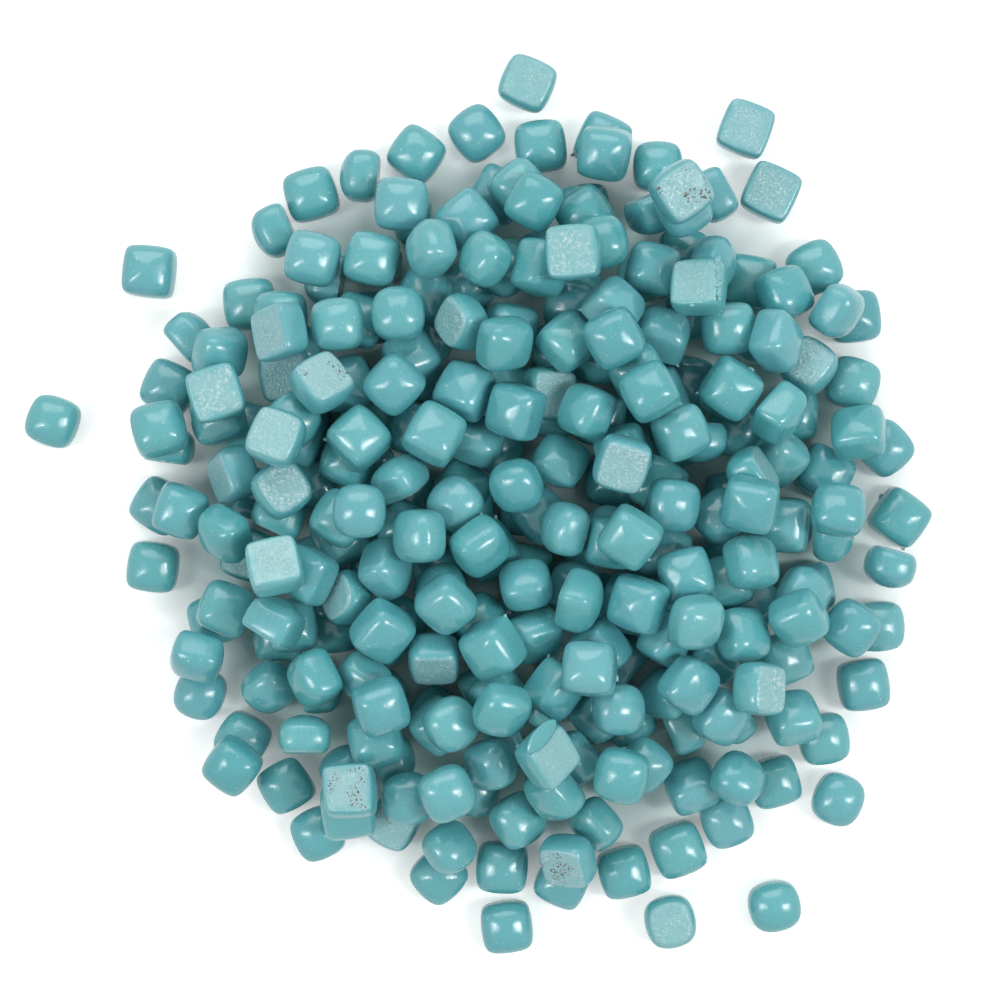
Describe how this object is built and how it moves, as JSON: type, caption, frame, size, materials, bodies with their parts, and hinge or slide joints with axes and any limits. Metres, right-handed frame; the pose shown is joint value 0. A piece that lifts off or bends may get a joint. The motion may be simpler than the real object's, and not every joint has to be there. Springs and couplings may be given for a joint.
{
  "type": "heap of glass mosaic tiles",
  "caption": "Low round heap of loose square pillow-shaped pressed-glass mosaic tiles, tipped out on a flat surface, with a few strays around its edge.",
  "frame": {"origin": "middle of the heap, on the surface that it lies on, in the middle of the back of a tile that lies flat there", "axes": "+Z up from the surface; +X to the right and +Y up as the heap is seen from above in the picture"},
  "size_m": [0.1323, 0.131, 0.0257],
  "materials": {
    "turquoise_glass": "glossy opaque pressed glass, rough back"
  },
  "bodies": {
    "root": {"bed_1": "turquoise_glass", "bed_2": "turquoise_glass", "bed_3": "turquoise_glass", "bed_4": "turquoise_glass", "bed_5": "turquoise_glass", "bed_6": "turquoise_glass", "bed_7": "turquoise_glass", "bed_8": "turquoise_glass", "second_course_1": "turquoise_glass", "second_course_2": "turquoise_glass", "second_course_3": "turquoise_glass", "second_course_4": "turquoise_glass", "second_course_5": "turquoise_glass", "second_course_6": "turquoise_glass", "second_course_7": "turquoise_glass", "shown_backs_1": "turquoise_glass", "shown_backs_2": "turquoise_glass", "shown_backs_3": "turquoise_glass", "stray_east_of_north": "turquoise_glass", "stray_east_of_south": "turquoise_glass", "stray_far_southeast": "turquoise_glass", "stray_north": "turquoise_glass", "stray_northeast": "turquoise_glass", "stray_northwest": "turquoise_glass", "stray_south": "turquoise_glass", "stray_southeast": "turquoise_glass", "stray_west": "turquoise_glass", "third_course_1": "turquoise_glass", "third_course_2": "turquoise_glass", "third_course_3": "turquoise_glass", "third_course_4": "turquoise_glass", "third_course_5": "turquoise_glass", "top_course_1": "turquoise_glass", "top_course_2": "turquoise_glass", "top_course_3": "turquoise_glass"}
  },
  "joints": []
}
